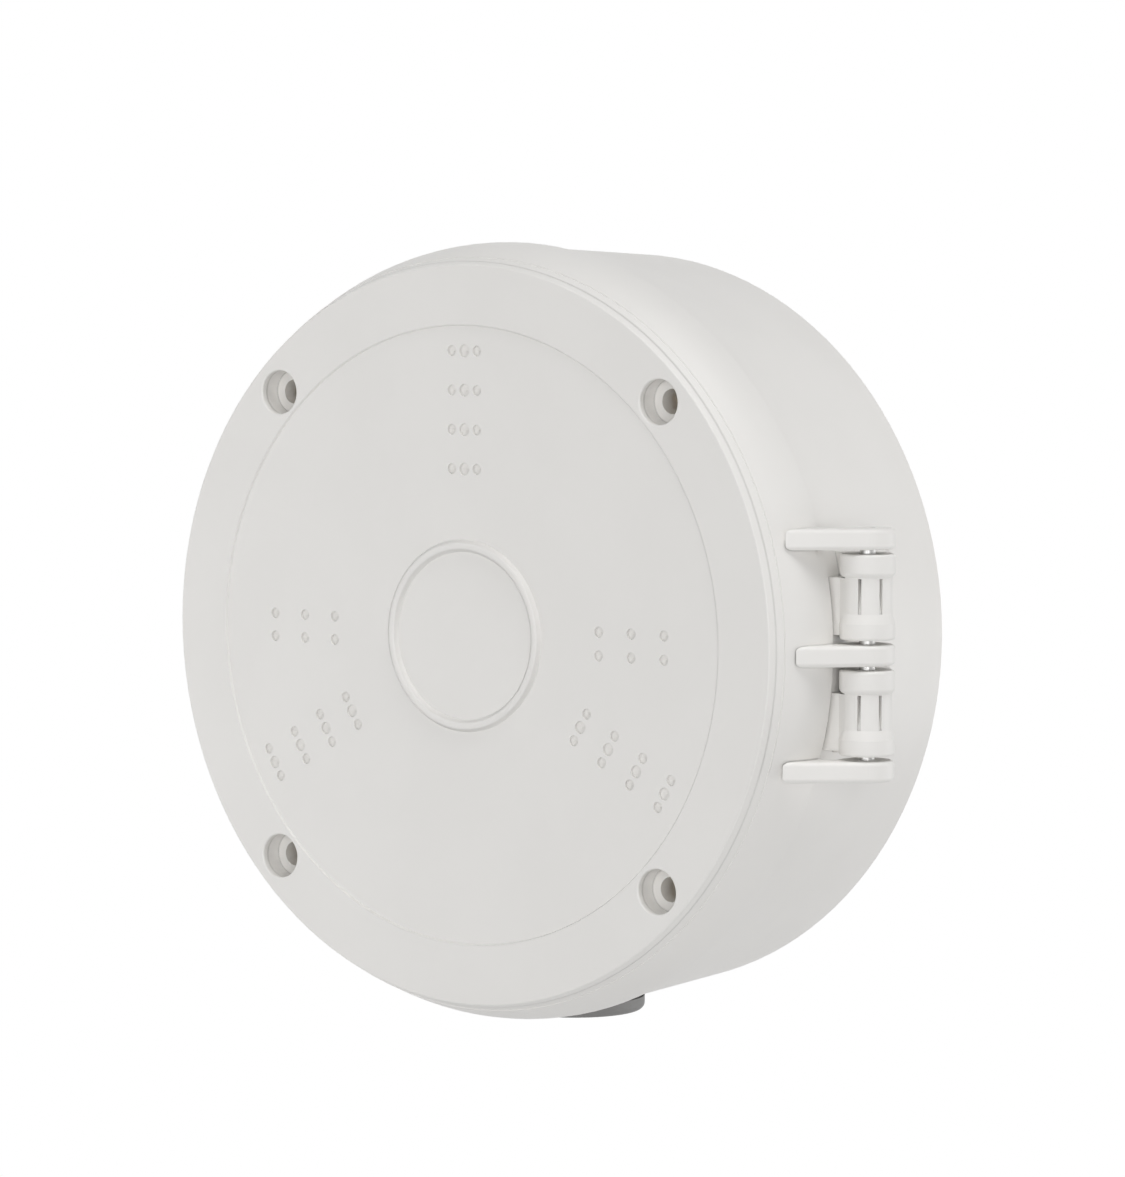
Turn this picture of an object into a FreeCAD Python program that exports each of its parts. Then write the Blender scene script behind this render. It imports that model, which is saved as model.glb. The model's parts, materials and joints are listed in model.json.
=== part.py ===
"""Round weatherproof junction box that a surveillance camera is screwed to.

The box hangs on a wall. +Z is up, the lid faces -Y, the hinge is on +X and the
cable entry is at the bottom. The origin is the centre of the back face, which
lies on the plane y = 0. Depths are measured backwards from the lid's face.
Lengths are in millimetres.
"""
import FreeCAD
import Part
import math
import os

from FreeCAD import Vector

# Overall form
LID_RADIUS = 80.0
BOX_DEPTH = 60.0
SEAM_DEPTH = 16.0
SEAM_GAP = 0.3

# Lid, outside
LID_PLATE = 3.2
FACE_SETBACK = 4.5
FACE_EDGE_ROUND = 0.4
BAND_ANGLE = 23.5
BAND_ROUND = 24.0
SKIRT_EDGE_ROUND = 0.4
FIELD_INSET = 16.7
FIELD_SINK = 0.35
FIELD_STEP_RUN = 0.25

# Raised bead round the place where the camera cable comes through
BEAD_RADIUS = 18.4
BEAD_WIDTH = 2.6
BEAD_HEIGHT = 0.95
KNOCKOUT_GROOVE_WIDTH = 1.0
KNOCKOUT_WEB = 1.3
KNOCKOUT_INSET = 1.0

# Lid screws
SCREW_INSET = 11.2
SCREW_FIRST_ANGLE = 45.0
SCREW_COUNT = 4
COUNTERBORE_RADIUS = 4.55
COUNTERBORE_DEPTH = 5.0
COUNTERBORE_ROUND = 0.4
SCREW_HOLE_RADIUS = 2.55
SCREW_SEAT = 3.2
LID_BOSS_WALL = 1.35

# Pilot marks for the screws of different cameras
PILOT_RADIUS = 1.3
SIDE_PILOT_RADIUS = 1.1
PILOT_DEPTH = 0.6
PILOT_TIP = 0.35
PILOT_ROW_RADIUS = 34.0
PILOT_ROW_STEP = 8.0
TRIPLE_ANGLES = (90.0, 210.0, 330.0)
TRIPLE_ROWS = 4
TRIPLE_SPACING = 3.2
PAIR_ANGLES = (0.0, 180.0)
PAIR_ROWS = 3
PAIR_SPACING = 4.8

# Skirt and seal
SKIRT_WALL = 2.5
SKIRT_DRAFT = 0.5
BASE_SETBACK = 0.8
BASE_TAPER = 1.8
BACK_EDGE_ROUND = 0.8
BASE_WALL = 4.2
TONGUE_WALL = 1.6
TONGUE_TIP_ROUND = 0.4
JOG_RADIUS = 7.6
JOG_BLEND = 6.0
GASKET_HEIGHT = 3.2
GASKET_CLEARANCE = 0.15
GASKET_TO_TONGUE = 0.3
CHANNEL_INNER_GAP = 1.5
CHANNEL_RIB_WALL = 1.6
CHANNEL_RIB_OVERLAP = 0.7

# Back wall and screw posts of the base
BACK_WALL = 3.2
FLOOR_ROUND = 2.0
POST_TOP_GAP = 0.3
POST_RADIUS = 4.6
POST_STAND = 3.5
POST_CORE_RADIUS = 5.6
POST_CORE_ROOF = 5.5

# Threaded brass inserts
INSERT_RADIUS = 2.8
INSERT_LENGTH = 8.0
INSERT_BORE = 2.0
INSERT_FIT = 0.03
INSERT_GROOVE_WIDTH = 1.2
INSERT_GROOVE_DEPTH = 0.45
INSERT_CHAMFER = 0.35
INSERT_FLUTES = 14
INSERT_FLUTE_RADIUS = 0.22
INSERT_SINK = 2.5
INSERT_HOLE_EXTRA = 4.0

# Wall screws through the back, each on the line from the middle to a lid screw
FIXING_FROM_SCREW = 19.3
FIXING_BORE = 2.4
SEAL_WALL = 1.5
SEAL_FIT = 0.1
SEAL_LIP_HEIGHT = 1.4
SEAL_LIP_WIDTH = 2.1
SEAL_REAR_LIP_HEIGHT = 0.9
SEAL_REAR_LIP_WIDTH = 1.4
SEAL_REAR_RECESS = 1.2
SEAL_COLLAR = 1.0
SEAL_EDGE_ROUND = 0.4
SEAL_SKIN = 0.6

# Knock-out for a cable from behind
REAR_KNOCKOUT_RADIUS = 11.0
REAR_KNOCKOUT_WEB = 1.4

# Cable entry at the bottom and its blanking plug
ENTRY_THREAD_RADIUS = 9.9
ENTRY_THREAD_DEPTH = 0.85
ENTRY_FIT = 0.3
ENTRY_WALL = 4.0
PLUG_FLANGE_RADIUS = 15.0
PLUG_FLANGE = 3.0
PLUG_EDGE_ROUND = 1.5
PLUG_LENGTH = 15.0
PLUG_WALL = 1.8
PLUG_END_CHAMFER = 0.8
SPOT_FACE_CLEARANCE = 0.6
COIN_SLOT_LENGTH = 18.0
COIN_SLOT_WIDTH = 2.4
COIN_SLOT_DEPTH = 1.4
WASHER_THICKNESS = 1.2
WASHER_INSET = 0.3
NUT_WALL = 3.1
NUT_HEIGHT = 5.5
NUT_FIT = 0.1
NUT_CHAMFER = 1.0
PAD_MARGIN = 2.5

# Hinge
HINGE_STANDOFF = 5.0
HINGE_BEHIND_SEAM = 4.2
HINGE_MIDDLE_Z = -0.75
HINGE_PITCH = 22.9
ARM_THICKNESS = 4.2
ARM_GAP = 0.88
BARREL_RADIUS = 5.5
ARM_ROOT_DEPTH = 5.3
ARM_PROUD = 0.4
ARM_SKIRT_STEP = 1.0
ARM_EDGE_ROUND = 0.9
KNUCKLE_WAIST_RADIUS = 4.9
UPPER_COLLAR = 4.8
LOWER_COLLAR = 3.2
LOWER_COLLAR_CONE = 2.0
COLLAR_ROUND = 0.6
COLLAR_SOFT_ROUND = 1.3
WEB_TO_SKIRT = 1.0
WEB_PAST_RIM = 0.6
WEB_FOOT_GAP = 0.8
WEB_POCKET_BEHIND_PIN = 1.0
GUSSET_DEPTH = 44.5
LEDGE_DEPTH = 48.0
LEDGE_THICKNESS = 1.1
SLOT_ANGLES = (15.0, 66.0)
SLOT_WIDTH = 0.7
SLOT_DEPTH_TOP = 1.8
SLOT_DEPTH_BOTTOM = 0.3
PIN_RADIUS = 1.6
PIN_RUNNING_FIT = 0.06
PIN_PUSH_FIT = 0.02
PIN_RECESS = 0.5
PIN_CHAMFER = 0.3

# How far a form is sunk into the one it grows from, and a cutter runs past a face
OVERLAP = 0.2
PAST = 1.0

# Sizes that follow from the ones above
FACE_RADIUS = LID_RADIUS - FACE_SETBACK
FIELD_RADIUS = LID_RADIUS - FIELD_INSET
SCREW_CIRCLE = LID_RADIUS - SCREW_INSET
SKIRT_INNER = LID_RADIUS - SKIRT_WALL
CHANNEL_OUTER = SKIRT_INNER - SKIRT_DRAFT
BASE_RADIUS = LID_RADIUS - BASE_SETBACK
SHOULDER_DEPTH = SEAM_DEPTH + SEAM_GAP
TONGUE_RADIUS = BASE_RADIUS - BASE_WALL + TONGUE_WALL / 2
TONGUE_TIP_DEPTH = LID_PLATE + GASKET_HEIGHT + GASKET_TO_TONGUE
CHANNEL_INNER = -TONGUE_WALL / 2 - CHANNEL_INNER_GAP
LID_BOSS_RADIUS = COUNTERBORE_RADIUS + LID_BOSS_WALL
LID_BOSS_DEPTH = COUNTERBORE_DEPTH + SCREW_SEAT
POST_TOP_DEPTH = LID_BOSS_DEPTH + POST_TOP_GAP
LOBE_TOP_DEPTH = POST_TOP_DEPTH + POST_STAND
FLOOR_DEPTH = BOX_DEPTH - BACK_WALL
FIXING_CIRCLE = SCREW_CIRCLE - FIXING_FROM_SCREW
SEAL_NECK_RADIUS = FIXING_BORE + SEAL_WALL
SEAL_LIP_RADIUS = SEAL_NECK_RADIUS + SEAL_LIP_WIDTH
REAR_LIP_RADIUS = SEAL_NECK_RADIUS + SEAL_REAR_LIP_WIDTH
COLLAR_DEPTH = FLOOR_DEPTH - SEAL_COLLAR
ENTRY_DEPTH = (SEAM_DEPTH + BOX_DEPTH) / 2
ENTRY_CORE_RADIUS = ENTRY_THREAD_RADIUS - ENTRY_THREAD_DEPTH
NUT_FLAT = ENTRY_THREAD_RADIUS + NUT_WALL
NUT_CORNER = NUT_FLAT * 2 / math.sqrt(3)
PAD_RADIUS = NUT_CORNER + PAD_MARGIN
HINGE_X = LID_RADIUS + HINGE_STANDOFF
HINGE_DEPTH = SEAM_DEPTH + HINGE_BEHIND_SEAM
BAND_SLOPE = math.tan(math.radians(BAND_ANGLE))


def y_at(depth):
    """Place along Y of a depth behind the lid's face."""
    return depth - BOX_DEPTH


def point(radius, depth):
    """Point of a profile that is turned about the middle of the box."""
    return Vector(radius, y_at(depth), 0)


def upright(radius, z):
    """Point of a profile that is turned about the cable entry's axis."""
    return Vector(radius, 0, z)


def line(start, end):
    return Part.LineSegment(start, end).toShape()


def arc(start, middle, end):
    return Part.Arc(start, middle, end).toShape()


def chain(points):
    """Straight edges from each point to the next."""
    return [line(a, b) for a, b in zip(points, points[1:])]


def outline(corners, place):
    """Closed outline through corners, each two lengths and perhaps a rounding.

    A rounding is the radius of an arc that touches both sides of the corner.
    """
    spots = [place(corner[0], corner[1]) for corner in corners]
    joins = []
    for k, (_, _, *rounding) in enumerate(corners):
        corner = spots[k]
        if not rounding:
            joins.append((corner, None, corner))
            continue
        radius = rounding[0]
        back = (spots[k - 1] - corner).normalize()
        ahead = (spots[(k + 1) % len(spots)] - corner).normalize()
        half = back.getAngle(ahead) / 2
        reach = radius / math.tan(half)
        nearest = radius / math.sin(half) - radius
        inward = (back + ahead).normalize()
        joins.append((corner + back * reach, corner + inward * nearest, corner + ahead * reach))
    edges = []
    for (start, middle, end), following in zip(joins, joins[1:] + joins[:1]):
        if middle is not None:
            edges.append(arc(start, middle, end))
        edges.append(line(end, following[0]))
    return edges


def turned(edges, axis):
    """Solid turned a whole turn about an axis through the origin."""
    return Part.Face(Part.Wire(edges)).revolve(Vector(0, 0, 0), axis, 360)


def turned_about_y(edges, x=0.0, z=0.0):
    solid = turned(edges, Vector(0, 1, 0))
    solid.translate(Vector(x, 0, z))
    return solid


def turned_about_entry(edges):
    solid = turned(edges, Vector(0, 0, 1))
    solid.translate(Vector(0, y_at(ENTRY_DEPTH), 0))
    return solid


def rod(radius, depth_a, depth_b, x=0.0, z=0.0):
    """Round rod parallel to Y between two depths."""
    return Part.makeCylinder(radius, depth_b - depth_a, Vector(x, y_at(depth_a), z), Vector(0, 1, 0))


def post(radius, z_low, z_high, x=HINGE_X, depth=HINGE_DEPTH):
    """Round rod parallel to Z, on the hinge axis unless told otherwise."""
    return Part.makeCylinder(radius, z_high - z_low, Vector(x, y_at(depth), z_low))


def entry_post(radius, z_low, z_high):
    """Round rod on the cable entry's axis."""
    return post(radius, z_low, z_high, 0, ENTRY_DEPTH)


def polar(radius, degrees):
    a = math.radians(degrees)
    return radius * math.cos(a), radius * math.sin(a)


def screw_angles():
    return [SCREW_FIRST_ANGLE + 360.0 / SCREW_COUNT * k for k in range(SCREW_COUNT)]


def screw_places():
    return [polar(SCREW_CIRCLE, a) for a in screw_angles()]


def fixing_places():
    return [polar(FIXING_CIRCLE, a) for a in screw_angles()]


def edges_on(solid, y=None, z=None):
    """Edges that lie wholly in one plane across Y or across Z."""
    found = []
    for edge in solid.Edges:
        box = edge.BoundBox
        low, high, level = (box.YMin, box.YMax, y) if z is None else (box.ZMin, box.ZMax, z)
        if abs(low - level) < 1e-4 and abs(high - level) < 1e-4:
            found.append(edge)
    return found


def ends_of(solid, low, high):
    """Edges of the two end faces of an upright solid."""
    return edges_on(solid, z=low) + edges_on(solid, z=high)


def seal_loop(offset, depth):
    """Closed line that the seal follows, moved outwards by an offset.

    It runs round the wall and steps inwards round each screw, so that the
    screw holes stay outside the sealed space. Each quarter is an arc about the
    screw, two blending arcs and an arc about the middle of the box.
    """
    y = y_at(depth)
    blend_centre = TONGUE_RADIUS - JOG_BLEND
    reach = JOG_RADIUS + JOG_BLEND
    cosine = (SCREW_CIRCLE ** 2 + blend_centre ** 2 - reach ** 2) / (2 * SCREW_CIRCLE * blend_centre)
    half = math.degrees(math.acos(cosine))

    def at(radius, degrees):
        x, z = polar(radius, degrees)
        return Vector(x, y, z)

    def blend(side, angle):
        """Ends and middle of a blending arc, from the wall to the screw."""
        centre = at(blend_centre, angle + side * half)
        screw = at(SCREW_CIRCLE, angle)
        out = at(1, angle + side * half) - at(0, 0)
        towards = (screw - centre).normalize()
        middle = (out + towards).normalize()
        radius = JOG_BLEND + offset
        return centre + out * radius, centre + middle * radius, centre + towards * radius

    edges = []
    angles = screw_angles()
    for angle, following in zip(angles, angles[1:] + [angles[0] + 360]):
        wall_in, mid_in, jog_in = blend(-1, angle)
        wall_out, mid_out, jog_out = blend(1, angle)
        deepest = at(SCREW_CIRCLE - (JOG_RADIUS - offset), angle)
        next_wall = blend(-1, following)[0]
        halfway = at(TONGUE_RADIUS + offset, (angle + following) / 2)
        edges.append(arc(wall_in, mid_in, jog_in))
        edges.append(arc(jog_in, deepest, jog_out))
        edges.append(arc(jog_out, mid_out, wall_out))
        edges.append(arc(wall_out, halfway, next_wall))
    return Part.Wire(edges)


def seal_prism(offset, depth_a, depth_b):
    """Solid inside the seal line, between two depths."""
    return Part.Face(seal_loop(offset, depth_a)).extrude(Vector(0, depth_b - depth_a, 0))


def seal_wall(outer, inner, depth_a, depth_b):
    """Wall of even thickness that follows the seal line."""
    return seal_prism(outer, depth_a, depth_b).cut(seal_prism(inner, depth_a, depth_b))


def around_hinge(radius, degrees, z):
    """Point on a circle about the hinge axis. 0 is +X, 90 is backwards."""
    x, back = polar(radius, degrees)
    return Vector(HINGE_X + x, y_at(HINGE_DEPTH) + back, z)


def tangent_angle(radius, corner, side):
    """Where a line from a corner (x, depth) touches a circle about the hinge."""
    dx = corner[0] - HINGE_X
    dy = corner[1] - HINGE_DEPTH
    spread = math.acos(radius / math.hypot(dx, dy))
    return math.degrees(math.atan2(dy, dx) + side * spread)


def flat(x, depth, z):
    return Vector(x, y_at(depth), z)


def web(radius, rear_depth, z_low, z_high):
    """Plate across Z with a round end on the hinge axis, tapering to the wall.

    Its front stays behind the lid's skirt as far as the corner beyond the rim.
    """
    inner_x = BASE_RADIUS - BASE_WALL - BARREL_RADIUS
    front_depth = SEAM_DEPTH + WEB_TO_SKIRT
    corner_x = LID_RADIUS + WEB_PAST_RIM
    first = tangent_angle(radius, (corner_x, front_depth), 1)
    last = tangent_angle(radius, (inner_x, rear_depth), -1)
    start = around_hinge(radius, first, z_low)
    end = around_hinge(radius, last, z_low)
    edges = [arc(start, around_hinge(radius, (first + last) / 2, z_low), end)]
    edges += chain([end, flat(inner_x, rear_depth, z_low), flat(inner_x, front_depth, z_low),
                    flat(corner_x, front_depth, z_low), start])
    return Part.Face(Part.Wire(edges)).extrude(Vector(0, 0, z_high - z_low))


def hinge_levels():
    """Middle height of each of the three lid arms, from the lowest up."""
    return [HINGE_MIDDLE_Z + HINGE_PITCH * k for k in (-1, 0, 1)]


def knuckle_levels():
    """Bottom and top of each of the two knuckles between the arms."""
    clear = ARM_THICKNESS / 2 + ARM_GAP
    levels = hinge_levels()
    return [(low + clear, high - clear) for low, high in zip(levels, levels[1:])]


def lid_shell():
    """Turned form of the lid: face, sunk field, rounded band and skirt."""
    return turned_about_y(outline([
        (0, FIELD_SINK),
        (FIELD_RADIUS - FIELD_STEP_RUN, FIELD_SINK),
        (FIELD_RADIUS, 0),
        (FACE_RADIUS, 0, FACE_EDGE_ROUND),
        (LID_RADIUS, FACE_SETBACK / BAND_SLOPE, BAND_ROUND),
        (LID_RADIUS, SEAM_DEPTH, SKIRT_EDGE_ROUND),
        (SKIRT_INNER, SEAM_DEPTH),
        (CHANNEL_OUTER, LID_PLATE),
        (0, LID_PLATE)], point))


def bead():
    """Ring with a rounded top that stands on the field."""
    inner = BEAD_RADIUS - BEAD_WIDTH / 2
    outer = BEAD_RADIUS + BEAD_WIDTH / 2
    sunk = FIELD_SINK + OVERLAP
    foot_in = point(inner, FIELD_SINK)
    foot_out = point(outer, FIELD_SINK)
    edges = [arc(foot_in, point(BEAD_RADIUS, FIELD_SINK - BEAD_HEIGHT), foot_out)]
    edges += chain([foot_out, point(outer, sunk), point(inner, sunk), foot_in])
    return turned_about_y(edges)


def screw_hole_cutter(x, z):
    """Counterbore with a softened mouth, and the clearance hole behind it."""
    mouth = COUNTERBORE_RADIUS + 2 * COUNTERBORE_ROUND
    return turned_about_y(outline([
        (0, -PAST),
        (mouth, -PAST),
        (mouth, 0),
        (COUNTERBORE_RADIUS, 0, COUNTERBORE_ROUND),
        (COUNTERBORE_RADIUS, COUNTERBORE_DEPTH),
        (SCREW_HOLE_RADIUS, COUNTERBORE_DEPTH),
        (SCREW_HOLE_RADIUS, LID_BOSS_DEPTH + PAST),
        (0, LID_BOSS_DEPTH + PAST)], point), x, z)


def pilot_places():
    """Centre and radius of each pilot mark.

    Three arms carry rows of three with a larger mark in the middle, and the
    two arms along X carry pairs.
    """
    places = []
    for angles, rows, steps, spacing in ((TRIPLE_ANGLES, TRIPLE_ROWS, (-1, 0, 1), TRIPLE_SPACING),
                                         (PAIR_ANGLES, PAIR_ROWS, (-1, 1), PAIR_SPACING / 2)):
        for angle in angles:
            out = polar(1, angle)
            for row in range(rows):
                reach = PILOT_ROW_RADIUS + PILOT_ROW_STEP * row
                for step in steps:
                    side = step * spacing
                    radius = PILOT_RADIUS if step == 0 else SIDE_PILOT_RADIUS
                    places.append((reach * out[0] - side * out[1], reach * out[1] + side * out[0], radius))
    return places


def pilot_cutter(x, z, radius):
    """Shallow round mark with a pointed floor that centres a screw."""
    floor = FIELD_SINK + PILOT_DEPTH
    return turned_about_y(outline([
        (0, FIELD_SINK - PAST),
        (radius, FIELD_SINK - PAST),
        (radius, floor),
        (0, floor + PILOT_TIP)], point), x, z)


def band_radius(depth):
    """Outer radius of the lid's rounded band on its straight first part."""
    return FACE_RADIUS + depth * BAND_SLOPE


def lid_arm(level):
    """Flat arm from the lid's band round the hinge pin.

    Its blunt end stands proud of the band at one depth, whatever the height,
    and its front runs straight until it touches the round end.
    """
    low = level - ARM_THICKNESS / 2
    high = level + ARM_THICKNESS / 2
    sunk = SEAM_DEPTH - ARM_SKIRT_STEP
    nearest = max(0, abs(level) - ARM_THICKNESS / 2)
    root_x = math.sqrt((band_radius(ARM_ROOT_DEPTH) + ARM_PROUD) ** 2 - nearest ** 2)
    first = tangent_angle(BARREL_RADIUS, (root_x, ARM_ROOT_DEPTH), 1)
    start = around_hinge(BARREL_RADIUS, first, low)
    end = around_hinge(BARREL_RADIUS, 180, low)
    edges = [arc(start, around_hinge(BARREL_RADIUS, (first + 180) / 2, low), end)]
    edges += chain([end, flat(HINGE_X - BARREL_RADIUS, sunk, low), flat(root_x, sunk, low),
                    flat(root_x, ARM_ROOT_DEPTH, low), start])
    arm = Part.Face(Part.Wire(edges)).extrude(Vector(0, 0, ARM_THICKNESS))
    inner = HINGE_X - BARREL_RADIUS
    rims = []
    for edge in ends_of(arm, low, high):
        box = edge.BoundBox
        if box.XMax > inner + OVERLAP or box.XMax < root_x + OVERLAP:
            rims.append(edge)
    return arm.makeFillet(ARM_EDGE_ROUND, rims)


def pin_span():
    """Bottom and top of the hinge pin, set back into the outer arms."""
    levels = hinge_levels()
    reach = ARM_THICKNESS / 2 - PIN_RECESS
    return levels[0] - reach, levels[-1] + reach


def knockout_groove(radius, depth_a, depth_b):
    """Ring cut from one side that leaves a thin web to break out."""
    return rod(radius, depth_a, depth_b).cut(rod(radius - KNOCKOUT_GROOVE_WIDTH, depth_a, depth_b))


def make_lid():
    lid = lid_shell()
    rib_tip = TONGUE_TIP_DEPTH + CHANNEL_RIB_OVERLAP
    grown = [bead(), seal_wall(CHANNEL_INNER, CHANNEL_INNER - CHANNEL_RIB_WALL, LID_PLATE - OVERLAP, rib_tip)]
    grown += [rod(LID_BOSS_RADIUS, LID_PLATE - OVERLAP, LID_BOSS_DEPTH, x, z) for x, z in screw_places()]
    grown += [lid_arm(level) for level in hinge_levels()]
    lid = lid.fuse(grown)
    pin_low, pin_high = pin_span()
    knockout = BEAD_RADIUS - BEAD_WIDTH / 2 - KNOCKOUT_INSET
    cutters = [screw_hole_cutter(x, z) for x, z in screw_places()]
    cutters.append(post(PIN_RADIUS + PIN_PUSH_FIT, pin_low - PAST, pin_high + PAST))
    cutters.append(knockout_groove(knockout, FIELD_SINK + KNOCKOUT_WEB, LID_PLATE + PAST))
    cutters += [pilot_cutter(x, z, radius) for x, z, radius in pilot_places()]
    return lid.cut(cutters)


def make_gasket():
    """Soft ring that fills the lid's channel, from plate to just short of the tongue."""
    outer = CHANNEL_OUTER - TONGUE_RADIUS - GASKET_CLEARANCE
    inner = CHANNEL_INNER + GASKET_CLEARANCE
    return seal_wall(outer, inner, LID_PLATE, LID_PLATE + GASKET_HEIGHT)


def make_hinge_pin():
    low, high = pin_span()
    pin = post(PIN_RADIUS, low, high)
    return pin.makeChamfer(PIN_CHAMFER, ends_of(pin, low, high))


def wall_radius(depth):
    """Outer radius of the base at a depth."""
    share = (depth - SHOULDER_DEPTH) / (BOX_DEPTH - SHOULDER_DEPTH)
    return BASE_RADIUS - BASE_TAPER * share


def entry_seat():
    """Height of the flat that the plug's washer presses on."""
    half = PLUG_FLANGE_RADIUS + SPOT_FACE_CLEARANCE
    return -math.sqrt(wall_radius(ENTRY_DEPTH) ** 2 - half ** 2)


def waist_slot(angle, low, high):
    """Narrow upright slot in the waist, deep at the top and shallow at the foot.

    The angle is measured from straight ahead towards +X.
    """
    outside = KNUCKLE_WAIST_RADIUS + PAST
    half = Vector(0, -SLOT_WIDTH / 2, 0)
    deep = KNUCKLE_WAIST_RADIUS - SLOT_DEPTH_TOP
    shallow = KNUCKLE_WAIST_RADIUS - SLOT_DEPTH_BOTTOM
    corners = [(outside, low), (outside, high), (deep, high), (shallow, low)]
    wedge = Part.Face(Part.Wire(outline(corners, upright))).extrude(Vector(0, SLOT_WIDTH, 0))
    wedge.translate(half)
    wedge.rotate(Vector(0, 0, 0), Vector(0, 0, 1), angle - 90)
    wedge.translate(Vector(HINGE_X, y_at(HINGE_DEPTH), 0))
    return wedge


def web_pocket(low, high):
    """Box that clears the web in front of the pin, on the lid's side of it."""
    front = SEAM_DEPTH
    rear = HINGE_DEPTH + WEB_POCKET_BEHIND_PIN
    inner_x = BASE_RADIUS - BASE_WALL
    return Part.makeBox(HINGE_X - inner_x, rear - front, high - low, flat(inner_x, front, low))


def knuckle(low, high):
    """Spool that carries the pin: two collars, a waist, a web and a ledge.

    The upper collar ends in a soft step, the lower one in a cone. Beside the
    upper collar and at its foot the web is cut back to behind the pin.
    """
    waist_top = high - UPPER_COLLAR
    cone_foot = low + LOWER_COLLAR
    waist_foot = cone_foot + LOWER_COLLAR_CONE
    upper = post(BARREL_RADIUS, waist_top, high)
    upper = upper.makeFillet(COLLAR_SOFT_ROUND, edges_on(upper, z=waist_top))
    upper = upper.makeFillet(COLLAR_ROUND, edges_on(upper, z=high))
    lower = post(BARREL_RADIUS, low, cone_foot)
    lower = lower.makeFillet(COLLAR_ROUND, edges_on(lower, z=low))
    cone = Part.makeCone(BARREL_RADIUS, KNUCKLE_WAIST_RADIUS, LOWER_COLLAR_CONE, flat(HINGE_X, HINGE_DEPTH, cone_foot))
    body = web(KNUCKLE_WAIST_RADIUS, GUSSET_DEPTH, low, high)
    ledge = web(KNUCKLE_WAIST_RADIUS, LEDGE_DEPTH, high - LEDGE_THICKNESS, high)
    pockets = [web_pocket(waist_top, high + PAST), web_pocket(low - PAST, low + WEB_FOOT_GAP)]
    slots = [waist_slot(a, waist_foot, waist_top) for a in SLOT_ANGLES]
    return body.fuse(ledge).cut(pockets).fuse([upper, lower, cone]).cut(slots)


def base_cavity():
    """Sealed space, less the pad of the cable entry and the collars of the wall screws."""
    cavity = seal_prism(-TONGUE_WALL / 2, 0, FLOOR_DEPTH)
    cavity = cavity.makeFillet(FLOOR_ROUND, edges_on(cavity, y=y_at(FLOOR_DEPTH)))
    kept = [rod(SEAL_LIP_RADIUS, COLLAR_DEPTH, BOX_DEPTH, x, z) for x, z in fixing_places()]
    kept.append(entry_post(PAD_RADIUS, -BASE_RADIUS, entry_seat() + ENTRY_WALL))
    return cavity.cut(kept)


def base_cutters():
    """Holes of the base: cable entry, inserts, post cores, wall screws, pin and knock-out."""
    seat = entry_seat()
    cutters = [entry_post(PLUG_FLANGE_RADIUS + SPOT_FACE_CLEARANCE, -LID_RADIUS, seat)]
    cutters.append(entry_post(ENTRY_THREAD_RADIUS + ENTRY_FIT, -LID_RADIUS, seat + ENTRY_WALL + PAST))
    hole_depth = POST_TOP_DEPTH + INSERT_LENGTH + INSERT_HOLE_EXTRA
    for x, z in screw_places():
        cutters.append(rod(INSERT_RADIUS + INSERT_FIT, POST_TOP_DEPTH - PAST, hole_depth, x, z))
        cutters.append(rod(POST_CORE_RADIUS, hole_depth + POST_CORE_ROOF, BOX_DEPTH + PAST, x, z))
    for x, z in fixing_places():
        cutters.append(rod(SEAL_NECK_RADIUS + SEAL_FIT, COLLAR_DEPTH - PAST, BOX_DEPTH, x, z))
        cutters.append(rod(REAR_LIP_RADIUS + SEAL_FIT, BOX_DEPTH - SEAL_REAR_RECESS, BOX_DEPTH + PAST, x, z))
    levels = knuckle_levels()
    cutters.append(post(PIN_RADIUS + PIN_RUNNING_FIT, levels[0][0] - PAST, levels[-1][1] + PAST))
    cutters.append(knockout_groove(REAR_KNOCKOUT_RADIUS, FLOOR_DEPTH - PAST, BOX_DEPTH - REAR_KNOCKOUT_WEB))
    return cutters


def make_base():
    outside = turned_about_y(outline([
        (0, SHOULDER_DEPTH),
        (BASE_RADIUS, SHOULDER_DEPTH),
        (BASE_RADIUS - BASE_TAPER, BOX_DEPTH, BACK_EDGE_ROUND),
        (0, BOX_DEPTH)], point))
    half_wall = TONGUE_WALL / 2
    lobe_tops = rod(TONGUE_RADIUS + half_wall, LOBE_TOP_DEPTH, SHOULDER_DEPTH + OVERLAP)
    tongue = seal_wall(half_wall, -half_wall, TONGUE_TIP_DEPTH, SHOULDER_DEPTH)
    tongue = tongue.makeFillet(TONGUE_TIP_ROUND, edges_on(tongue, y=y_at(TONGUE_TIP_DEPTH)))
    posts = [rod(POST_RADIUS, POST_TOP_DEPTH, LOBE_TOP_DEPTH + OVERLAP, x, z)
             for x, z in screw_places()]
    base = outside.fuse([lobe_tops] + [knuckle(low, high) for low, high in knuckle_levels()])
    base = base.cut(base_cavity())
    return base.fuse([tongue] + posts).cut(base_cutters())


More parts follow.
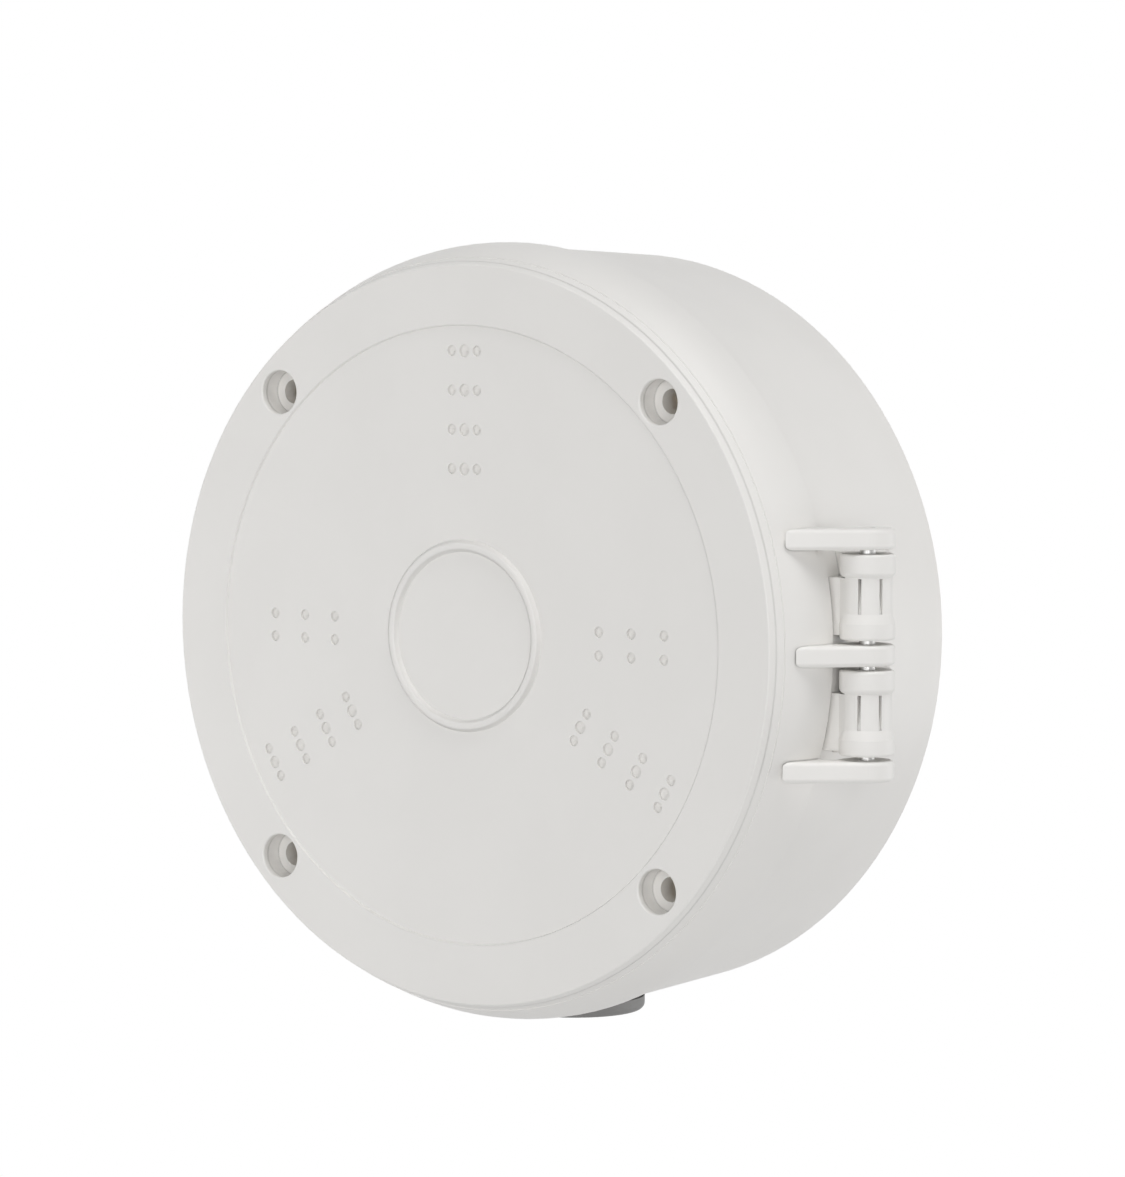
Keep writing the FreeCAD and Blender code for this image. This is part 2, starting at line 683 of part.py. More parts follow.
def make_insert(x, z):
    """Brass insert with a fluted outside, a groove round its middle and a bore."""
    top = POST_TOP_DEPTH + INSERT_SINK
    bottom = top + INSERT_LENGTH
    ease = INSERT_CHAMFER
    middle = (top + bottom) / 2
    waist = INSERT_RADIUS - INSERT_GROOVE_DEPTH
    insert = turned_about_y(outline([
        (INSERT_BORE + ease, top),
        (INSERT_RADIUS - ease, top),
        (INSERT_RADIUS, top + ease),
        (INSERT_RADIUS, middle - INSERT_GROOVE_WIDTH / 2),
        (waist, middle - INSERT_GROOVE_WIDTH / 2),
        (waist, middle + INSERT_GROOVE_WIDTH / 2),
        (INSERT_RADIUS, middle + INSERT_GROOVE_WIDTH / 2),
        (INSERT_RADIUS, bottom - ease),
        (INSERT_RADIUS - ease, bottom),
        (INSERT_BORE, bottom),
        (INSERT_BORE, top + ease)], point))
    flutes = []
    for k in range(INSERT_FLUTES):
        fx, fz = polar(INSERT_RADIUS, 360.0 / INSERT_FLUTES * k)
        flutes.append(rod(INSERT_FLUTE_RADIUS, top - PAST, bottom + PAST, fx, fz))
    insert = insert.cut(flutes)
    insert.translate(Vector(x, 0, z))
    return insert


def make_fixing_seal(x, z):
    """Rubber bush held in the back wall by a lip on each side.

    A thin skin closes its bore until the wall screw is driven through it.
    """
    top = COLLAR_DEPTH - SEAL_LIP_HEIGHT
    rear = BOX_DEPTH - SEAL_REAR_RECESS
    return turned_about_y(outline([
        (0, top),
        (SEAL_LIP_RADIUS, top, SEAL_EDGE_ROUND),
        (SEAL_LIP_RADIUS, COLLAR_DEPTH),
        (SEAL_NECK_RADIUS, COLLAR_DEPTH),
        (SEAL_NECK_RADIUS, rear),
        (REAR_LIP_RADIUS, rear),
        (REAR_LIP_RADIUS, rear + SEAL_REAR_LIP_HEIGHT),
        (FIXING_BORE, rear + SEAL_REAR_LIP_HEIGHT),
        (FIXING_BORE, top + SEAL_SKIN),
        (0, top + SEAL_SKIN)], point), x, z)


def make_entry_plug():
    """Screw-in blanking plug: round flange, hollow threaded neck and a coin slot."""
    top = entry_seat() - WASHER_THICKNESS
    bottom = top - PLUG_FLANGE
    end = top + PLUG_LENGTH
    neck = ENTRY_CORE_RADIUS
    plug = turned_about_entry(outline([
        (0, bottom),
        (PLUG_FLANGE_RADIUS, bottom, PLUG_EDGE_ROUND),
        (PLUG_FLANGE_RADIUS, top),
        (neck, top),
        (neck, end - PLUG_END_CHAMFER),
        (neck - PLUG_END_CHAMFER, end),
        (neck - PLUG_WALL, end),
        (neck - PLUG_WALL, top),
        (0, top)], upright))
    corner = Vector(-COIN_SLOT_LENGTH / 2, y_at(ENTRY_DEPTH) - COIN_SLOT_WIDTH / 2, bottom - PAST)
    slot = Part.makeBox(COIN_SLOT_LENGTH, COIN_SLOT_WIDTH, COIN_SLOT_DEPTH + PAST, corner)
    return plug.cut(slot)


def make_entry_washer():
    seat = entry_seat()
    outer = entry_post(PLUG_FLANGE_RADIUS - WASHER_INSET, seat - WASHER_THICKNESS, seat)
    return outer.cut(entry_post(ENTRY_THREAD_RADIUS + ENTRY_FIT, seat - WASHER_THICKNESS, seat))


def make_entry_nut():
    """Hexagon lock nut inside the box, its upper corners turned away."""
    seat = entry_seat() + ENTRY_WALL
    points = [Vector(*polar(NUT_CORNER, 60 * k), 0) for k in range(7)]
    nut = Part.Face(Part.Wire(chain(points))).extrude(Vector(0, 0, NUT_HEIGHT))
    past_corner = NUT_CORNER + OVERLAP
    cap = turned(outline([
        (0, 0),
        (past_corner, 0),
        (past_corner, NUT_HEIGHT - NUT_CHAMFER),
        (NUT_FLAT, NUT_HEIGHT),
        (0, NUT_HEIGHT)], upright), Vector(0, 0, 1))
    nut = nut.common(cap).cut(Part.makeCylinder(ENTRY_CORE_RADIUS + NUT_FIT, NUT_HEIGHT))
    nut.translate(Vector(0, y_at(ENTRY_DEPTH), seat))
    return nut


def all_pieces():
    """Every separate piece of the box, by name."""
    pieces = {
        "base_housing": make_base(),
        "lid": make_lid(),
        "lid_gasket": make_gasket(),
        "hinge_pin": make_hinge_pin(),
        "entry_plug": make_entry_plug(),
        "entry_washer": make_entry_washer(),
        "entry_locknut": make_entry_nut(),
    }
    for number, (x, z) in enumerate(screw_places(), 1):
        pieces[f"screw_insert_{number}"] = make_insert(x, z)
    for number, (x, z) in enumerate(fixing_places(), 1):
        pieces[f"fixing_seal_{number}"] = make_fixing_seal(x, z)
    return pieces


os.makedirs("parts", exist_ok=True)
for name, shape in all_pieces().items():
    shape = shape.removeSplitter()
    solids = shape.Solids
    print(f"{name}: {len(solids)} solid, {shape.Volume / 1000:.2f} cm3, valid {shape.isValid()}")
    solid = solids[0] if len(solids) == 1 else shape
    solid.exportStep(f"parts/{name}.step")
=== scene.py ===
# %% [markdown]
# # A round junction box for a surveillance camera
#
# The real object is a white moulded box that hangs on a wall. A camera is
# screwed to its hinged lid and the cables are joined inside. This lesson dresses
# the finished construction: every solid is there already, at its real size, so
# what is left is the light, the finish of each surface, and the few forms that
# are too fine for the construction, such as screw threads.
#
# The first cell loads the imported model. Everything in the scene is in metres
# and in the frame of that model: +Z is up, the lid faces -Y, the hinge is on +X.

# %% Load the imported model
import json
import math

import bpy
import numpy as np
from mathutils import Matrix, Vector


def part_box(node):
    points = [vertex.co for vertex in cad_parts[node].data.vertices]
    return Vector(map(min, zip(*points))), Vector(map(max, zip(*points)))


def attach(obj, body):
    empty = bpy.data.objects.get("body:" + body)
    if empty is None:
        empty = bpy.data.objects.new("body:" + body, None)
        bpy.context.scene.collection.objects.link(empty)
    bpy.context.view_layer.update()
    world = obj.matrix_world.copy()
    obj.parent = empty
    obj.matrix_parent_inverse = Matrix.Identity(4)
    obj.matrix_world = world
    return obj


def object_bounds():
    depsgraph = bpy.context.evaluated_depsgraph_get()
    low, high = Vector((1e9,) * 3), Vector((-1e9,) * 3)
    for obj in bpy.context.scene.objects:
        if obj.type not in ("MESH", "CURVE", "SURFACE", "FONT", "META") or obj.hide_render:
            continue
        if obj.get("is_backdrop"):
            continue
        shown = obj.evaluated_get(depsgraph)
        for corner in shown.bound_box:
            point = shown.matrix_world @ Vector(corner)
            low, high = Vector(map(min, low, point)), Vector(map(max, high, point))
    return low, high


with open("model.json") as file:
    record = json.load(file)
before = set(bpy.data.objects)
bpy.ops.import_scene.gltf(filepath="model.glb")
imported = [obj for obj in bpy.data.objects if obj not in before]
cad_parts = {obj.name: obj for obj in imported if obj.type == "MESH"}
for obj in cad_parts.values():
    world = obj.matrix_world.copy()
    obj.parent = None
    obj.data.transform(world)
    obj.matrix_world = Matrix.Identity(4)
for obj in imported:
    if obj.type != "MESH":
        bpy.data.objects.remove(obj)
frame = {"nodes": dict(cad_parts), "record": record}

MM = 0.001
scene = bpy.context.scene
nodes = frame["nodes"]
cad_low, cad_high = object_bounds()
print("box in mm:", [round(v / MM, 1) for v in cad_high - cad_low])

# %% [markdown]
# ## Where the camera stands
#
# The picture was taken from the right and a little above, with a long lens. The
# camera is placed by two angles and a distance from the middle of the lid, and
# is then aimed at the point that lies in the middle of the picture. Angles and
# distances can be changed one at a time, which bare coordinates would not allow.

# %% Camera
PICTURE_HEIGHT = 1177
FOCAL_LENGTH = 5116.0
SENSOR = 36.0
CAMERA_AZIMUTH = math.radians(37.85)
CAMERA_ELEVATION = math.radians(4.52)
CAMERA_ROLL = math.radians(0.11)
CAMERA_DISTANCE = 1.0413
AIM_RIGHT = 0.02567
AIM_UP = 0.01083


def direction(azimuth, elevation):
    """Unit vector from the object to a place seen at two angles, azimuth 0 being straight in front."""
    level = math.cos(elevation)
    return Vector((math.sin(azimuth) * level, -math.cos(azimuth) * level, math.sin(elevation)))


def look(place, target, roll=0.0):
    """Matrix of a camera or lamp at a place that points at a target."""
    turn = (target - place).to_track_quat("-Z", "Y").to_matrix().to_4x4()
    return Matrix.Translation(place) @ turn @ Matrix.Rotation(roll, 4, "Z")


lid_middle = Vector((0.0, cad_low.y, 0.0))
camera = bpy.data.objects.new("camera", bpy.data.cameras.new("camera"))
scene.collection.objects.link(camera)
camera.data.sensor_width = SENSOR
camera.data.lens = FOCAL_LENGTH / PICTURE_HEIGHT * SENSOR
eye = lid_middle + CAMERA_DISTANCE * direction(CAMERA_AZIMUTH, CAMERA_ELEVATION)
camera.matrix_world = look(eye, lid_middle + Vector((AIM_RIGHT, 0, AIM_UP)), CAMERA_ROLL)
scene.camera = camera
print("camera at", [round(v, 3) for v in eye], "lens", round(camera.data.lens, 1))

# %% [markdown]
# ## Soft studio light
#
# Colours are shown as they are written, with Blender's plain view transform.
# The picture has the flat light of a product table. Two soft boxes near the
# camera's height give the even part, two high ones brighten the top and draw
# shade under the bead and the hinge's arms, and two weak cards close to the box
# lift its lower left and the side turned to the wall. The surroundings add a
# little from everywhere. Each lamp is written as two angles in degrees, a
# distance and a size in metres, and a power in watts.

# %% Lamps
scene.view_settings.view_transform = "Standard"
AMBIENT = 0.14
LAMPS = {
    "front_box": (10.0, 5.0, 1.7, 0.8, 5.4),
    "camera_box": (45.0, 5.0, 1.7, 0.8, 6.1),
    "top_box": (45.0, 65.0, 1.7, 0.8, 4.8),
    "far_top_box": (80.0, 65.0, 1.7, 0.8, 8.6),
    "left_card": (-55.0, -10.0, 0.4, 0.25, 0.20),
    "back_card": (135.0, -12.0, 0.5, 0.3, 0.55),
}


def soft_box(name, azimuth, elevation, distance, size, power):
    """Square lamp seen from the object at two angles in degrees, pointing at the object's middle."""
    data = bpy.data.lights.new(name, "AREA")
    data.size = size
    data.energy = power
    lamp = bpy.data.objects.new(name, data)
    scene.collection.objects.link(lamp)
    middle = (cad_low + cad_high) / 2
    place = middle + distance * direction(math.radians(azimuth), math.radians(elevation))
    lamp.matrix_world = look(place, middle)
    lamp.visible_camera = False
    return lamp


for name, (azimuth, elevation, distance, size, power) in LAMPS.items():
    lamp = soft_box(name, azimuth, elevation, distance, size, power)
    print(name, "at", [round(v, 2) for v in lamp.matrix_world.translation], power, "W")

# %% [markdown]
# ## Writing shader maths as expressions
#
# A material is a tree of nodes. A wrapped output that knows plus, minus and
# times lets the maths read like maths: 1 - mask * 0.3 adds two Math nodes. Any
# other node comes from one method, which sets the node's own settings first and
# then its sockets.

# %% A small class for shader maths


class Signal:
    """An output socket of a node. Arithmetic on it adds Math nodes to its tree."""

    def __init__(self, tree, socket):
        self.tree = tree
        self.socket = socket

    def maths(self, operation, *values):
        return node(self.tree, "ShaderNodeMath", {"operation": operation}, dict(enumerate(values)))

    def __add__(self, other):
        return self.maths("ADD", self, other)

    def __radd__(self, other):
        return self.maths("ADD", other, self)

    def __sub__(self, other):
        return self.maths("SUBTRACT", self, other)

    def __rsub__(self, other):
        return self.maths("SUBTRACT", other, self)

    def __mul__(self, other):
        return self.maths("MULTIPLY", self, other)

    def __rmul__(self, other):
        return self.maths("MULTIPLY", other, self)

    def __abs__(self):
        return self.maths("ABSOLUTE", self)

    def max(self, other):
        return self.maths("MAXIMUM", self, other)


def node(tree, kind, settings=None, inputs=None, output=0):
    """New node of a kind, with its settings and then its sockets set. Returns one output as a Signal."""
    made = tree.nodes.new(kind)
    for key, value in (settings or {}).items():
        setattr(made, key, value)
    for key, value in (inputs or {}).items():
        if isinstance(value, Signal):
            tree.links.new(value.socket, made.inputs[key])
        else:
            made.inputs[key].default_value = value
    return Signal(tree, made.outputs[output])


def ramp(tree, signal, low, high):
    """Smooth step of a signal from 0 at low to 1 at high."""
    return node(tree, "ShaderNodeMapRange", {"interpolation_type": "SMOOTHSTEP"},
                {"Value": signal, "From Min": low, "From Max": high})


def place_of(tree):
    """Object coordinates, which are metres in the model's frame."""
    return node(tree, "ShaderNodeTexCoord", output="Object")


def grain(tree, place, size, detail=2.0, roughness=0.5):
    """Noise whose features are about a size across, in metres. Goes from 0 to 1."""
    return node(tree, "ShaderNodeTexNoise", {"noise_dimensions": "3D"},
                {"Vector": place, "Scale": 1 / size, "Detail": detail, "Roughness": roughness}, "Fac")


def tint(tree, factor, first, second):
    """Colour between two colours, or signals that carry one, by a factor."""
    first, second = [c if isinstance(c, Signal) else (*c, 1.0) for c in (first, second)]
    return node(tree, "ShaderNodeMix", {"data_type": "RGBA"},
                {"Factor": factor, "A": first, "B": second}, "Result")


print("maths ready: plus, minus, times, absolute value and maximum")

# %% [markdown]
# ## The floor and the surroundings
#
# The background of the picture is plain white. Making it white with more light
# would burn out the white plastic, so the camera and mirror-like reflections see
# a plain white, while the object itself is lit by a weaker one. The floor does
# the same trick but keeps the part of its shade that comes from the lamps, so
# that the object's soft shadow stays on it. The box hangs as on its wall, so the
# floor lies some way below it. From below the floor is clear, so the underside
# of the box can be looked at as well.

# %% Surroundings that look white and light softly


def seen_directly(tree):
    """1 for rays from the camera and for those that a mirror or a glass sends on."""
    def kind(output):
        return node(tree, "ShaderNodeLightPath", output=output)
    return kind("Is Camera Ray").max(kind("Is Glossy Ray")).max(kind("Is Transmission Ray"))


world = bpy.data.worlds.new("surroundings")
scene.world = world
world.use_nodes = True
sky = world.node_tree
background = next(n for n in sky.nodes if n.type == "BACKGROUND")
background.inputs["Color"].default_value = (1, 1, 1, 1)
strength = AMBIENT + (1 - AMBIENT) * seen_directly(sky)
sky.links.new(strength.socket, background.inputs["Strength"])
print("ambient light", AMBIENT)

# %% Floor with a soft shadow
FLOOR_DROP = 0.14
FLOOR_SIZE = 12.0
FLOOR_TONE = 0.6
FLOOR_LIGHT = 0.45
FLOOR_GLOW = 0.56
FADE_START = 0.25
FADE_END = 0.50

floor_mesh = bpy.data.meshes.new("floor")
corner = FLOOR_SIZE / 2
level = cad_low.z - FLOOR_DROP
floor_mesh.from_pydata([(-corner, -corner, level), (corner, -corner, level),
                        (corner, corner, level), (-corner, corner, level)], [], [(0, 1, 2, 3)])
floor = bpy.data.objects.new("floor", floor_mesh)
scene.collection.objects.link(floor)
floor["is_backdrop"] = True

floor_paint = bpy.data.materials.new("pale_floor")
floor_paint.use_nodes = True
tree = floor_paint.node_tree
tree.nodes.clear()
lit = node(tree, "ShaderNodeBsdfDiffuse", inputs={"Color": (FLOOR_TONE,) * 3 + (1,)})
added = node(tree, "ShaderNodeEmission", inputs={"Strength": FLOOR_LIGHT})
near = node(tree, "ShaderNodeAddShader", inputs={0: lit, 1: added})
far = node(tree, "ShaderNodeEmission", inputs={"Strength": 1.0})
distance = node(tree, "ShaderNodeVectorMath", {"operation": "LENGTH"}, {0: place_of(tree)}, "Value")
white = node(tree, "ShaderNodeMixShader",
             inputs={"Fac": ramp(tree, distance, FADE_START, FADE_END), 1: near, 2: far})
glow = node(tree, "ShaderNodeEmission", inputs={"Strength": FLOOR_GLOW})
shown = node(tree, "ShaderNodeMixShader", inputs={"Fac": seen_directly(tree), 1: glow, 2: white})
clear = node(tree, "ShaderNodeBsdfTransparent")
from_below = node(tree, "ShaderNodeNewGeometry", output="Backfacing")
one_sided = node(tree, "ShaderNodeMixShader", inputs={"Fac": from_below, 1: shown, 2: clear})
output = tree.nodes.new("ShaderNodeOutputMaterial")
tree.links.new(one_sided.socket, output.inputs["Surface"])
floor_mesh.materials.append(floor_paint)
print("floor", round(FLOOR_DROP / MM), "mm below the box")

# %% [markdown]
# ## What every finish shares
#
# A finish is a material with its plain values set, to which the varying ones are
# then linked. The rest are small helpers: a bump that raises the surface by a
# height, a normal that rounds sharp edges, and a measure of how deep in a corner
# a point lies.

# %% Tools for the finishes
HALF = 0.5
finishes = {}


def finish(name, slot_colour, roughness, metallic=0.0, specular=0.5):
    """New material with its plain values set. Returns its tree and its Principled shader.

    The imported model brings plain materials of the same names, so each new one is
    kept under its name in a table of its own.
    """
    material = bpy.data.materials.new(name)
    finishes[name] = material
    material.use_nodes = True
    tree = material.node_tree
    shader = next(n for n in tree.nodes if n.type == "BSDF_PRINCIPLED")
    shader.inputs["Base Color"].default_value = (*slot_colour, 1)
    shader.inputs["Roughness"].default_value = roughness
    shader.inputs["Metallic"].default_value = metallic
    shader.inputs["Specular IOR Level"].default_value = specular
    return tree, shader


def feed(tree, shader, socket, signal):
    """Links a signal to one of the shader's sockets."""
    tree.links.new(signal.socket, shader.inputs[socket])


def soft_edges(tree, size, samples=6):
    """Normal that rounds every edge by a size."""
    return node(tree, "ShaderNodeBevel", {"samples": samples}, {"Radius": size}, "Normal")


def bump(tree, height, depth, normal=None):
    """Normal of a surface raised by a height from 0 to 1 times a depth."""
    inputs = {"Height": height, "Distance": depth, "Strength": 1.0}
    if normal is not None:
        inputs["Normal"] = normal
    return node(tree, "ShaderNodeBump", {}, inputs, "Normal")


def corners(tree, reach):
    """0 deep in a corner of the piece, 1 where nothing of it is near."""
    return node(tree, "ShaderNodeAmbientOcclusion", {"samples": 8, "only_local": True},
                {"Distance": reach}, "AO")


wanted = sorted({part["material_slot"] for part in frame["record"]["subparts"]})
print("finishes to make:", wanted)

# %% [markdown]
# ## White moulded plastic
#
# The case and the lid are moulded in a white weatherproof plastic. The mould's
# walls are spark eroded, which leaves a satin skin of tiny pits about a quarter
# of a millimetre across. Behind thick places the skin sinks by a few hundredths
# of a millimetre, which the eye sees only as a slow change of the sheen. Both
# are bump here, because they are far finer than the mesh. The larger edge
# roundings are in the solids already. The corners get painted shade: an Ambient
# Occlusion node finds them. It looks less than a millimetre far and only at the
# piece itself, and the colour is darkened there.
#
# The lid's bead and the step of its sunk field catch the light as narrow lines.
# Their flanks get a little more slope as bump, worked out from the distance to
# the lid's axis, so that these lines are as clear as in the picture. Only the
# lid's front has them.

# %% Moulded plastic
PIT_SIZE = 0.28 * MM
PIT_DEPTH = 0.008 * MM
FLOW_SIZE = 22 * MM
FLOW_DEPTH = 0.05 * MM
FLOW_LOW = 0.35
FLOW_HIGH = 0.65
FLOW_SHEEN = 0.08
PIT_SHEEN = 0.03
CORNER_REACH = 0.7 * MM
CORNER_SHADE = 0.60
CORNER_LOW = 0.35
CORNER_HIGH = 0.80
BEAD_RADIUS = 18.4 * MM
BEAD_HALF = 1.3 * MM
BEAD_FLAT = 0.5 * MM
BEAD_DEPTH = 0.4 * MM
STEP_RADIUS = 63.25 * MM
STEP_HALF = 0.3 * MM
STEP_DEPTH = 0.22 * MM
FRONT_FROM = 58.2 * MM
FRONT_TO = 58.8 * MM


def turned_relief(tree, place):
    """Height in metres of the lid's bead and of the step of its sunk field, by the distance from the axis."""
    level = node(tree, "ShaderNodeVectorMath", {"operation": "MULTIPLY"}, {0: place, 1: (1, 0, 1)}, "Vector")
    radius = node(tree, "ShaderNodeVectorMath", {"operation": "LENGTH"}, {0: level}, "Value")
    from_bead = abs(radius - BEAD_RADIUS)
    bead = ramp(tree, from_bead, BEAD_HALF, BEAD_FLAT)
    step = ramp(tree, radius, STEP_RADIUS - STEP_HALF, STEP_RADIUS + STEP_HALF)
    forward = node(tree, "ShaderNodeVectorMath", {"operation": "DOT_PRODUCT"},
                   {0: place, 1: (0, -1, 0)}, "Value")
    return ramp(tree, forward, FRONT_FROM, FRONT_TO) * (BEAD_DEPTH * bead + STEP_DEPTH * step)


def moulded(name, colour, shade, roughness, relief=None):
    """Satin moulded plastic: slow changes of tone and sheen, fine pits, and painted shade in the corners."""
    tree, shader = finish(name, colour, roughness)
    place = place_of(tree)
    flow = grain(tree, place, FLOW_SIZE, 3.0)
    pits = grain(tree, place, PIT_SIZE, 1.0)
    clean = tint(tree, ramp(tree, flow, FLOW_LOW, FLOW_HIGH), colour, shade)
    # painted shade: the colour is darkened in the piece's corners and creases, where shade falls
    painted_corner_shade = [channel * CORNER_SHADE for channel in colour]
    open_air = ramp(tree, corners(tree, CORNER_REACH), CORNER_LOW, CORNER_HIGH)
    feed(tree, shader, "Base Color", tint(tree, open_air, painted_corner_shade, clean))
    feed(tree, shader, "Roughness", roughness + FLOW_SHEEN * (flow - HALF) + PIT_SHEEN * pits)
    form = bump(tree, relief(tree, place), 1.0) if relief else None
    slow = bump(tree, flow, FLOW_DEPTH, form)
    feed(tree, shader, "Normal", bump(tree, pits, PIT_DEPTH, slow))


WHITE = (0.872, 0.858, 0.834)
WHITE_SHADE = (0.860, 0.846, 0.822)
GREY = (0.240, 0.237, 0.234)
GREY_SHADE = (0.222, 0.219, 0.216)
moulded("housing_plastic", WHITE, WHITE_SHADE, 0.46)
moulded("lid_plastic", WHITE, WHITE_SHADE, 0.43, turned_relief)
moulded("plug_plastic", GREY, GREY_SHADE, 0.55)
moulded("nut_plastic", GREY, GREY_SHADE, 0.50)
print("plastics:", [name for name in finishes if "plastic" in name])

# %% [markdown]
# ## Rubber, brass and steel
#
# Rubber is dull, with a fine blotchy grain. The gasket is a foamed rubber, so
# its cells are larger. The inserts are turned from brass bar and show the marks
# of the tool as rings across their axis, and the hinge pin is a drawn steel rod
# with fine lines along its length. Rings and lines are a noise that is squeezed
# along one direction.

# %% Rubber and metal
EDGE_SOFTNESS = 0.22 * MM
BLOTCH_CELLS = 6
BLOTCH_LOW = 0.3
BLOTCH_HIGH = 0.7
BLOTCH_SHEEN = 0.12
METAL_SOFTNESS = 0.1 * MM
STAIN_SIZE = 3 * MM
STAIN_LOW = 0.3
STAIN_HIGH = 0.8
LINE_SHEEN = 0.15


def rubber(name, colour, shade, cell, depth, roughness):
    """Dull rubber whose grain or foam cells are about one size across."""
    tree, shader = finish(name, colour, roughness, specular=0.35)
    place = place_of(tree)
    cells = node(tree, "ShaderNodeTexVoronoi", {"feature": "F1"},
                 {"Vector": place, "Scale": 1 / cell}, "Distance")
    blotch = grain(tree, place, BLOTCH_CELLS * cell, 3.0)
    feed(tree, shader, "Base Color", tint(tree, ramp(tree, blotch, BLOTCH_LOW, BLOTCH_HIGH), colour, shade))
    feed(tree, shader, "Roughness", roughness + BLOTCH_SHEEN * (blotch - HALF))
    feed(tree, shader, "Normal", bump(tree, cells, depth, soft_edges(tree, EDGE_SOFTNESS)))


def worked_metal(name, colour, shade, squeeze, size, depth, roughness):
    """Metal with fine lines. Squeeze scales each axis, so lines run along the smallest."""
    tree, shader = finish(name, colour, roughness, metallic=1.0)
    place = node(tree, "ShaderNodeVectorMath", {"operation": "MULTIPLY"},
                 {0: place_of(tree), 1: squeeze}, "Vector")
    lines = grain(tree, place, size, 2.0)
    stain = grain(tree, place_of(tree), STAIN_SIZE, 2.0)
    feed(tree, shader, "Base Color", tint(tree, ramp(tree, stain, STAIN_LOW, STAIN_HIGH), colour, shade))
    feed(tree, shader, "Roughness", roughness + LINE_SHEEN * lines)
    feed(tree, shader, "Normal", bump(tree, lines, depth, soft_edges(tree, METAL_SOFTNESS)))


rubber("gasket_rubber", (0.30, 0.30, 0.30), (0.26, 0.26, 0.26), 0.35 * MM, 0.05 * MM, 0.85)
rubber("washer_rubber", (0.035, 0.035, 0.036), (0.028, 0.028, 0.029), 0.2 * MM, 0.01 * MM, 0.6)
rubber("seal_rubber", (0.09, 0.09, 0.092), (0.075, 0.075, 0.077), 0.2 * MM, 0.01 * MM, 0.62)
worked_metal("insert_brass", (0.80, 0.60, 0.30), (0.72, 0.53, 0.27),
             (0.02, 1.0, 0.02), 0.12 * MM, 0.01 * MM, 0.24)
worked_metal("pin_steel", (0.66, 0.66, 0.65), (0.60, 0.60, 0.59),
             (1.0, 1.0, 0.02), 0.15 * MM, 0.01 * MM, 0.28)
print("finishes so far:", len(finishes))

# %% [markdown]
# ## Giving each solid its finish
#
# Every solid came with its name, and the record says which finish it takes. A
# material with the name of that finish goes into the solid's material slot. The
# meshes themselves stay untouched.

# %% Materials onto the solids
slot_of = {part["node"]: part["material_slot"] for part in frame["record"]["subparts"]}
for name, piece in nodes.items():
    piece.data.materials.clear()
    piece.data.materials.append(finishes[slot_of[name]])
    print(name, "is", slot_of[name])

# %% [markdown]
# ## Screw threads
#
# The construction leaves the threads as plain cylinders. Here each thread is a
# ridge whose section is carried along a helix: one parameter runs along the
# helix, the other round the section, and both are worked out for all points at
# once. The plug's thread stands out from its neck. The threads of the inserts
# stand inwards from their bores, which only changes a sign. At both ends the
# ridge sinks into its wall over half a turn, as on a turned or moulded thread.

# %% A ridge along a helix
RIDGE_FOOT = 0.80
RIDGE_TOP = 0.22
RIDGE_SUNK = 0.05 * MM
START_SIDE = (0.6, 0.3, 0.7)


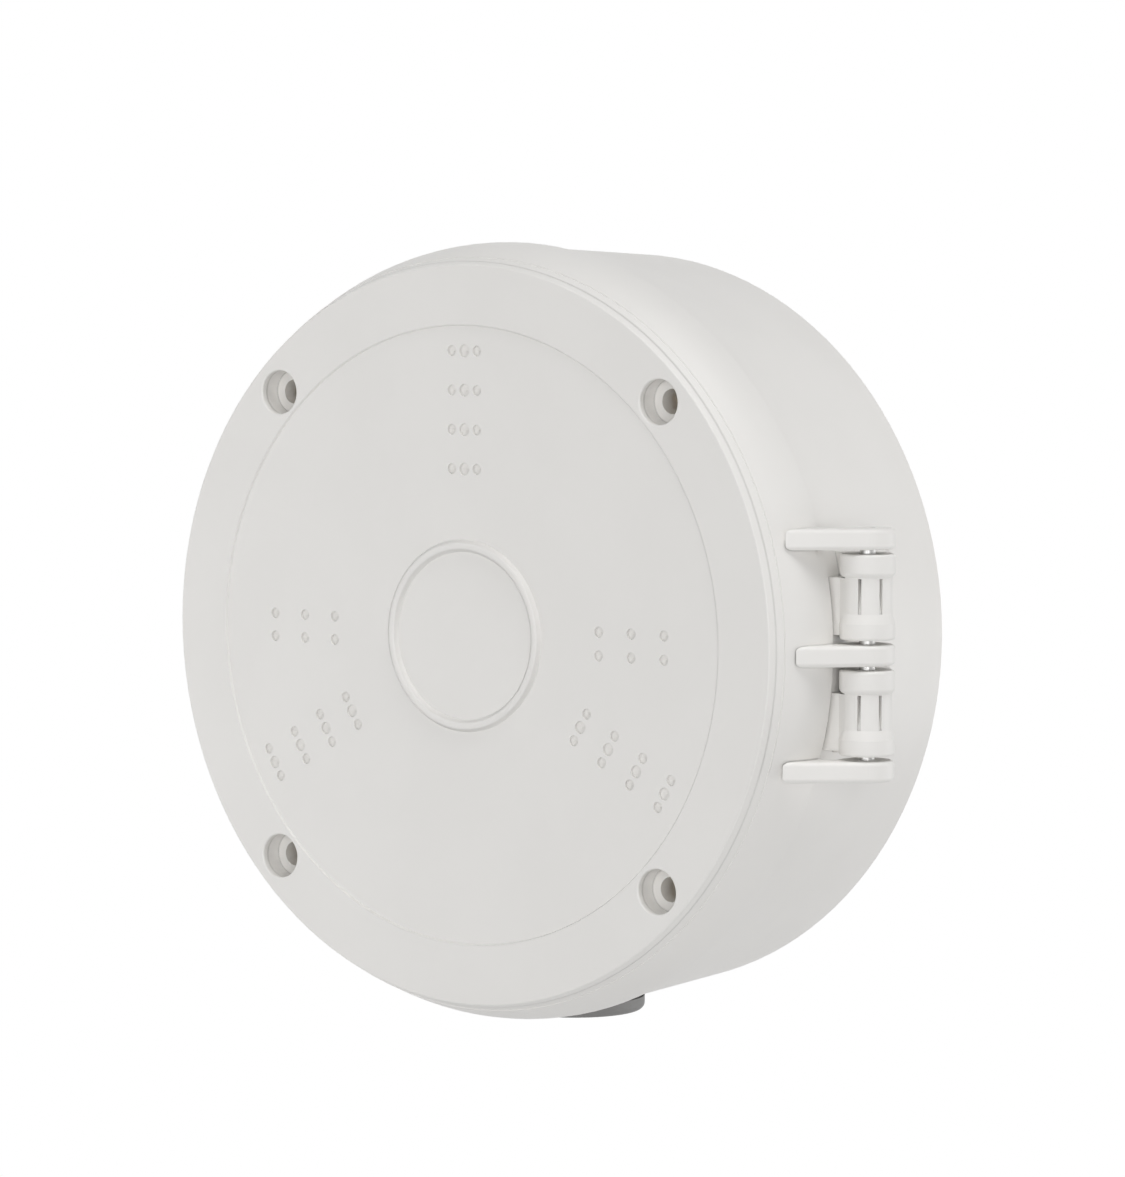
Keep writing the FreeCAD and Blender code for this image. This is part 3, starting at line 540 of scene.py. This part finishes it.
def thread(name, start, end, wall, crest, pitch, per_turn, body, slot_name):
    """Right-handed screw thread between two points of its axis.

    The section has four corners (s, t) = (-f, 0), (-c, 1), (c, 1), (f, 0), where f
    and c are half the foot's and half the top's width, along the axis. At the
    angle a round the axis,
    point = start + axis * (f + pitch * a / 2 pi + s) + (cos a * u + sin a * v) * r
    r = wall + side * ((height + sunk) * t * fade(a) - sunk)
    with side +1 outwards and -1 inwards, and fade rising as 3 h^2 - 2 h^3 over the
    half turn h at each end.
    """
    start = np.array(start, float)
    axis = np.array(end, float) - start
    length = np.linalg.norm(axis)
    axis /= length
    u = np.cross(axis, START_SIDE)
    u /= np.linalg.norm(u)
    v = np.cross(axis, u)

    f = RIDGE_FOOT * pitch / 2
    c = RIDGE_TOP * pitch / 2
    whole = 2 * math.pi * (length - 2 * f) / pitch
    count = int(whole / (2 * math.pi) * per_turn)
    a = np.linspace(0, whole, count)[:, None]
    h = np.clip(np.minimum(a, whole - a) / math.pi, 0, 1)
    fade = 3 * h ** 2 - 2 * h ** 3
    s = np.array([[-f, -c, c, f]])
    t = np.array([[0.0, 1.0, 1.0, 0.0]])

    side = 1 if crest > wall else -1
    r = wall + side * ((abs(crest - wall) + RIDGE_SUNK) * t * fade - RIDGE_SUNK)
    along = f + pitch * a / (2 * math.pi) + s
    out = np.cos(a) * u + np.sin(a) * v
    points = start + along[..., None] * axis + r[..., None] * out[:, None, :]

    per_section = len(s[0])
    i = np.arange(count - 1)[:, None] * per_section
    j = np.arange(per_section)[None, :]
    k = (j + 1) % per_section
    quads = np.stack([i + j, i + per_section + j, i + per_section + k, i + k], -1).reshape(-1, 4)
    caps = np.stack([j[0], (count - 1) * per_section + j[0, ::-1]])
    faces = np.concatenate([quads, caps])[:, ::side]

    mesh = bpy.data.meshes.new(name)
    mesh.from_pydata(points.reshape(-1, 3), [], faces.tolist())
    mesh.polygons.foreach_set("use_smooth", np.ones(len(mesh.polygons), bool))
    ends = np.empty(2 * len(mesh.edges), np.int32)
    mesh.edges.foreach_get("vertices", ends)
    same_corner = np.diff(ends.reshape(-1, 2) % per_section, axis=1)[:, 0] == 0
    sharp = mesh.attributes.new("sharp_edge", "BOOLEAN", "EDGE")
    sharp.data.foreach_set("value", same_corner)
    mesh.materials.append(finishes[slot_name])
    mesh.update()
    ridge = bpy.data.objects.new(name, mesh)
    scene.collection.objects.link(ridge)
    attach(ridge, body)
    return ridge


print("a ridge covers", RIDGE_FOOT, "of the pitch at its foot and", RIDGE_TOP, "at its top")

# %% [markdown]
# ## The plug's thread and the four inserts' threads
#
# The plug is an M20 one with a pitch of 1.5 mm. Its ridge starts at the flange
# and runs through the seal, the wall and the lock nut. The lid screws are M4
# with a pitch of 0.7 mm. Each thread is placed from the box of the solid that
# carries it, so it stays right if the construction changes.

# %% Threads in place
PLUG_CORE = 9.05 * MM
PLUG_MAJOR = 9.90 * MM
PLUG_PITCH = 1.5 * MM
PLUG_FLANGE = 3.0 * MM
PLUG_POINTS_PER_TURN = 72
INSERT_MAJOR = 2.00 * MM
INSERT_MINOR = 1.65 * MM
INSERT_PITCH = 0.7 * MM
INSERT_MOUTH = 0.35 * MM
INSERT_POINTS_PER_TURN = 32

low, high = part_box("entry_plug")
middle = (low + high) / 2
plug_thread = thread("entry_plug_thread",
                     (middle.x, middle.y, low.z + PLUG_FLANGE), (middle.x, middle.y, high.z),
                     PLUG_CORE, PLUG_MAJOR, PLUG_PITCH, PLUG_POINTS_PER_TURN, "base", "plug_plastic")
print(plug_thread.name, len(plug_thread.data.polygons), "faces")
for number in range(1, 5):
    low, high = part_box(f"screw_insert_{number}")
    middle = (low + high) / 2
    ridge = thread(f"screw_insert_thread_{number}", (middle.x, low.y + INSERT_MOUTH, middle.z),
                   (middle.x, high.y, middle.z), INSERT_MAJOR, INSERT_MINOR,
                   INSERT_PITCH, INSERT_POINTS_PER_TURN, "base", "insert_brass")
    print(ridge.name, len(ridge.data.polygons), "faces")

# %% [markdown]
# ## Measuring before the end
# The box of the construction and the box of the dressed model are both printed,
# so that they can be compared.

low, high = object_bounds()
print("dressed box in mm:", [round(v / MM, 1) for v in high - low])
